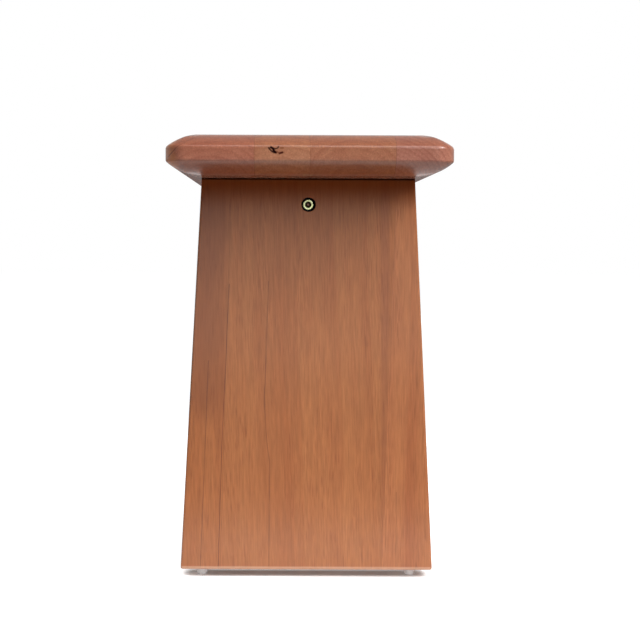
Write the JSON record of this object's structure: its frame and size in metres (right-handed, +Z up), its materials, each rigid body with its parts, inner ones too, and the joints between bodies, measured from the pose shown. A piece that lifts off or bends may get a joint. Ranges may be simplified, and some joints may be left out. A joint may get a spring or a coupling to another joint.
{
  "type": "dining bench",
  "caption": "Long glued hardwood bench with shaped seat edges on tapered slab legs, tied by a rail under the seat.",
  "frame": {"origin": "on the floor, under the middle of the bench", "axes": "+Z up, +X along the seat, +Y across it; the end at +X is the one in the picture"},
  "size_m": [1.1, 0.28, 0.453],
  "materials": {
    "seat_wood": "satin lacquer",
    "leg_wood": "satin lacquer",
    "rail_wood": "satin lacquer",
    "dowel_wood": "plain beech",
    "bolt_metal": "yellow plated steel",
    "washer_metal": "blackened",
    "steel": "bright zinc",
    "glide_plastic": "translucent white"
  },
  "bodies": {
    "root": {"seat_stave_1": "seat_wood", "seat_stave_2": "seat_wood", "seat_stave_3": "seat_wood", "seat_stave_4": "seat_wood", "right_leg_front_board": "leg_wood", "right_leg_middle_board": "leg_wood", "right_leg_back_board": "leg_wood", "left_leg_front_board": "leg_wood", "left_leg_middle_board": "leg_wood", "left_leg_back_board": "leg_wood", "seat_rail": "rail_wood", "leg_bolts": "bolt_metal", "bolt_washers": "washer_metal", "barrel_nuts": "steel", "rail_dowels": "dowel_wood", "seat_dowels": "dowel_wood", "seat_screws": "steel", "leg_glides": "glide_plastic", "glide_nails": "steel"}
  },
  "joints": []
}
